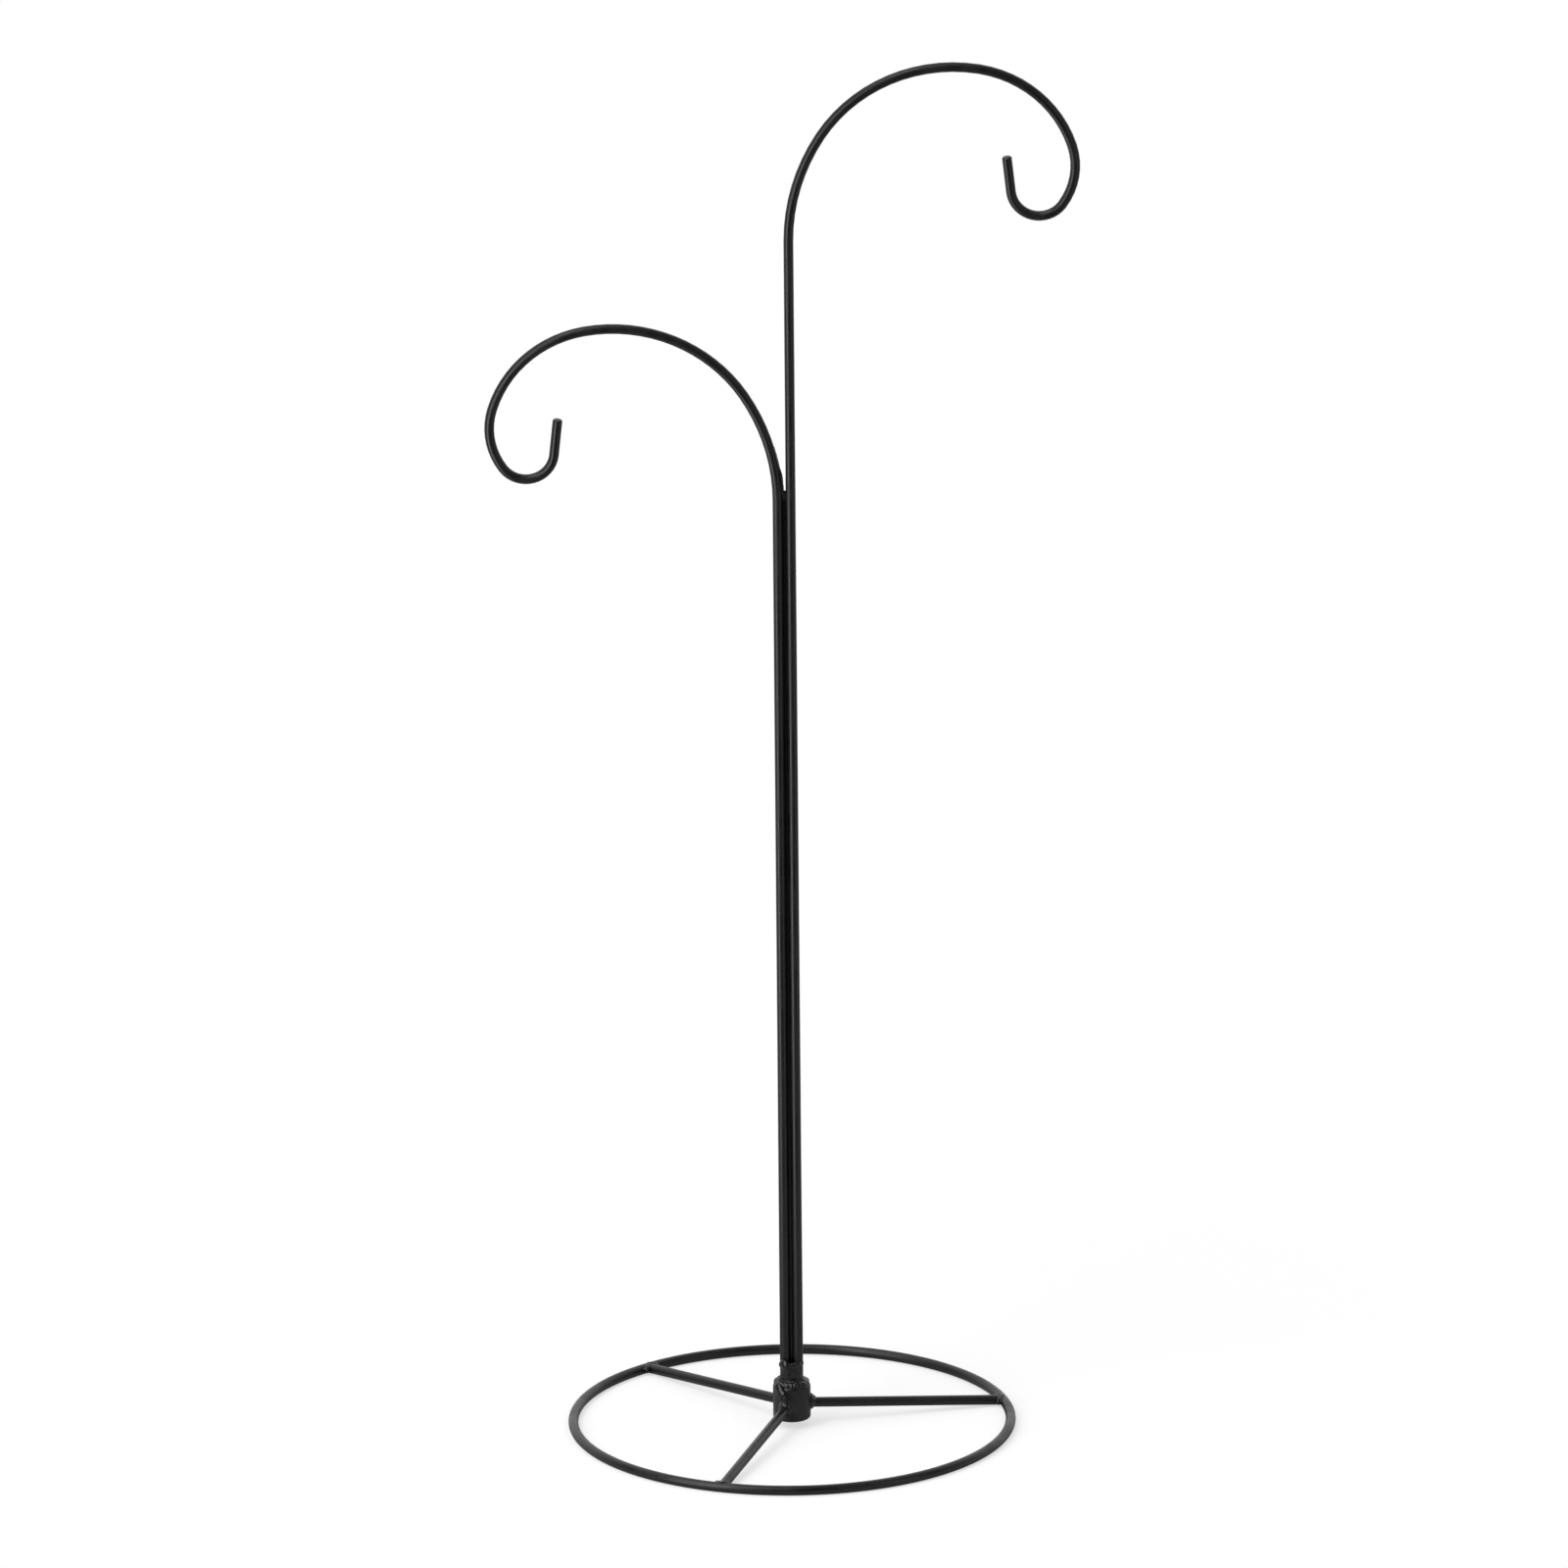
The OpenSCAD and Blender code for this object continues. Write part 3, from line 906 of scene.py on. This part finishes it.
# Light that falls on the open floor, as a share of full white
FLOOR_LIT = 0.93
# Shares of the floor's radius between which it fades away, and its drop below the ring
FLOOR_FADE = (0.4, 0.98)
FLOOR_DROP = 0.02 * MM
# Where along Y the reflected room turns from dark, behind the camera, to light
ROOM_TURN = (-0.2, 0.75)
# What the lamps look at, and where they stand. Angles are in degrees, bearings from +X
LAMP_CENTRE = (0, 0, 0.4)
KEY_BEARING, KEY_DISTANCE, KEY_SIZE = 222, 1.5, (0.8, 2.6)
FILL_BEARING, FILL_DISTANCE, FILL_SIZE = 325, 1.6, (0.5, 2.6)
TOP_BEARING, TOP_ELEVATION, TOP_DISTANCE, TOP_SPREAD = 212, 62, 2.0, 36


def seen_directly(wire, seen):
    """1 for rays that come straight from the camera, or through something clear."""
    return wire.maths("MAXIMUM", seen.outputs["Is Camera Ray"],
                      seen.outputs["Is Transmission Ray"])


def floor_material(radius, colour, dark_side):
    """A floor that the camera sees as white, with the stand's shadow kept in its middle."""
    material = bpy.data.materials.new("floor_paper")
    material.use_nodes = True
    wire = Wiring(material.node_tree)
    wire.tree.nodes.clear()
    matt = wire.add("ShaderNodeBsdfDiffuse")
    matt.inputs["Color"].default_value = (colour, colour, colour, 1.0)
    glow = wire.add("ShaderNodeEmission")
    glow.inputs["Color"].default_value = WHITE
    seen = wire.add("ShaderNodeLightPath")
    mirrored = wire.scaled(seen.outputs["Is Glossy Ray"], dark_side)
    shown = wire.maths("MAXIMUM", seen_directly(wire, seen), mirrored)
    wire.join(wire.scaled(shown, 1.0 - FLOOR_LIT * colour), glow.inputs["Strength"])
    both = wire.add("ShaderNodeAddShader")
    wire.join(matt.outputs[0], both.inputs[0])
    wire.join(glow.outputs[0], both.inputs[1])
    middle = wire.add("ShaderNodeVectorMath", operation="LENGTH")
    wire.join(wire.add("ShaderNodeTexCoord").outputs["Object"], middle.inputs[0])
    faded = wire.add("ShaderNodeMixShader")
    edge = wire.spread(middle.outputs["Value"], *(radius * share for share in FLOOR_FADE))
    wire.join(edge, faded.inputs[0])
    wire.join(both.outputs[0], faded.inputs[1])
    wire.join(wire.add("ShaderNodeBsdfTransparent").outputs[0], faded.inputs[2])
    output = wire.add("ShaderNodeOutputMaterial")
    wire.join(faded.outputs[0], output.inputs["Surface"])
    return material


def make_world(light, dark_side):
    """Even light from all round, a white backdrop, and a darker room behind the camera."""
    world = bpy.data.worlds.new("studio")
    world.use_nodes = True
    wire = Wiring(world.node_tree)
    wire.tree.nodes.clear()
    background = wire.add("ShaderNodeBackground")
    background.inputs["Color"].default_value = WHITE
    seen = wire.add("ShaderNodeLightPath")
    glossy = seen.outputs["Is Glossy Ray"]
    way = wire.add("ShaderNodeSeparateXYZ")
    wire.join(wire.add("ShaderNodeTexCoord").outputs["Generated"], way.inputs[0])
    room = wire.spread(way.outputs["Y"], *ROOM_TURN, dark_side, 1.0)
    plain = seen_directly(wire, seen)
    shown = wire.maths("MAXIMUM", wire.scaled(glossy, room), plain)
    unseen = wire.maths("SUBTRACT", 1.0, wire.maths("MAXIMUM", plain, glossy))
    strength = wire.maths("ADD", shown, wire.scaled(unseen, light))
    wire.join(strength, background.inputs["Strength"])
    output = wire.add("ShaderNodeOutputWorld")
    wire.join(background.outputs[0], output.inputs["Surface"])
    bpy.context.scene.world = world


def lamp_towards(name, kind, bearing, elevation, distance):
    """A lamp that looks at the lamps' centre from that bearing and elevation."""
    turn, rise = math.radians(bearing), math.radians(elevation)
    away = Vector((math.cos(turn) * math.cos(rise), math.sin(turn) * math.cos(rise),
                   math.sin(rise)))
    bpy.ops.object.light_add(type=kind, location=Vector(LAMP_CENTRE) + away * distance)
    lamp = bpy.context.object
    lamp.name = lamp.data.name = name
    lamp.rotation_mode = "QUATERNION"
    lamp.rotation_quaternion = away.to_track_quat("Z", "Y")
    return lamp


def add_soft_box(name, power, bearing, distance, size):
    """A tall soft box standing at that bearing."""
    lamp = lamp_towards(name, "AREA", bearing, 0, distance)
    lamp.data.shape = "RECTANGLE"
    lamp.data.size, lamp.data.size_y = size
    lamp.data.energy = power
    lamp.visible_camera = False


class STAND_OT_stage(bpy.types.Operator):
    """Set the floor, the soft light and the camera"""

    bl_idname = "stand.stage"
    bl_label = "Stage"

    def execute(self, context):
        stage = settings("stand_stage")
        deselect()
        bpy.ops.mesh.primitive_circle_add(
            vertices=96, radius=stage.floor_radius, fill_type="NGON",
            location=(0, 0, -FLOOR_DROP))
        floor = bpy.context.object
        floor.name = floor.data.name = "floor"
        floor.data.materials.append(
            floor_material(stage.floor_radius, stage.floor_colour, stage.dark_side))
        make_world(stage.room_light, stage.dark_side)
        add_soft_box("key_light", stage.key_power, KEY_BEARING, KEY_DISTANCE, KEY_SIZE)
        add_soft_box("fill_light", stage.fill_power, FILL_BEARING, FILL_DISTANCE, FILL_SIZE)
        top = lamp_towards("top_light", "SUN", TOP_BEARING, TOP_ELEVATION, TOP_DISTANCE)
        top.data.energy = stage.top_strength
        top.data.angle = math.radians(TOP_SPREAD)

        bpy.ops.object.camera_add()
        camera = bpy.context.object
        camera.name = camera.data.name = "camera"
        back = Vector((0, -math.cos(stage.elevation), math.sin(stage.elevation)))
        camera.location = Vector(stage.aim) + back * stage.distance
        camera.rotation_mode = "QUATERNION"
        turned = Matrix.Rotation(-stage.roll, 4, "Z").to_quaternion()
        camera.rotation_quaternion = back.to_track_quat("Z", "Y") @ turned
        camera.data.type = "ORTHO"
        camera.data.ortho_scale = stage.view_width
        camera.data.clip_start = 0.1
        camera.data.clip_end = stage.distance * 4
        context.scene.camera = camera
        context.scene.view_settings.view_transform = "Standard"
        return {"FINISHED"}


class STAND_PT_panel(bpy.types.Panel):
    """Steps that build the looks of the plant stand"""

    bl_idname = "STAND_PT_panel"
    bl_label = "Plant Stand"
    bl_space_type = "VIEW_3D"
    bl_region_type = "UI"
    bl_category = "Plant Stand"

    def draw(self, context):
        for step in STEPS:
            self.layout.operator(step.bl_idname)
        for name, (_, label) in SETTINGS.items():
            box = self.layout.box()
            box.label(text=label)
            kept = getattr(context.scene, name)
            for prop in kept.bl_rna.properties:
                if prop.identifier not in {"rna_type", "name"}:
                    box.prop(kept, prop.identifier)


SETTINGS = {
    "stand_sizes": (StandSizes, "Steel"),
    "stand_welds": (WeldSizes, "Welds"),
    "stand_coat": (CoatLook, "Coat"),
    "stand_stage": (StageLook, "Stage"),
}
STEPS = (
    STAND_OT_coat_steel,
    STAND_OT_fork_weld,
    STAND_OT_neck_weld,
    STAND_OT_tack_welds,
    STAND_OT_hub_welds,
    STAND_OT_ring_welds,
    STAND_OT_stage,
)
CLASSES = tuple(kind for kind, _ in SETTINGS.values()) + STEPS + (STAND_PT_panel,)


def register():
    for kind in CLASSES:
        bpy.utils.register_class(kind)
    for name, (kind, _) in SETTINGS.items():
        setattr(bpy.types.Scene, name, PointerProperty(type=kind))


def unregister():
    for name in SETTINGS:
        delattr(bpy.types.Scene, name)
    for kind in reversed(CLASSES):
        bpy.utils.unregister_class(kind)


def main():
    register()
    bpy.ops.stand.coat_steel()
    bpy.ops.stand.fork_weld()
    bpy.ops.stand.neck_weld()
    bpy.ops.stand.tack_welds()
    bpy.ops.stand.hub_welds()
    bpy.ops.stand.ring_welds()
    bpy.ops.stand.stage()


if __name__ == "__main__":
    main()
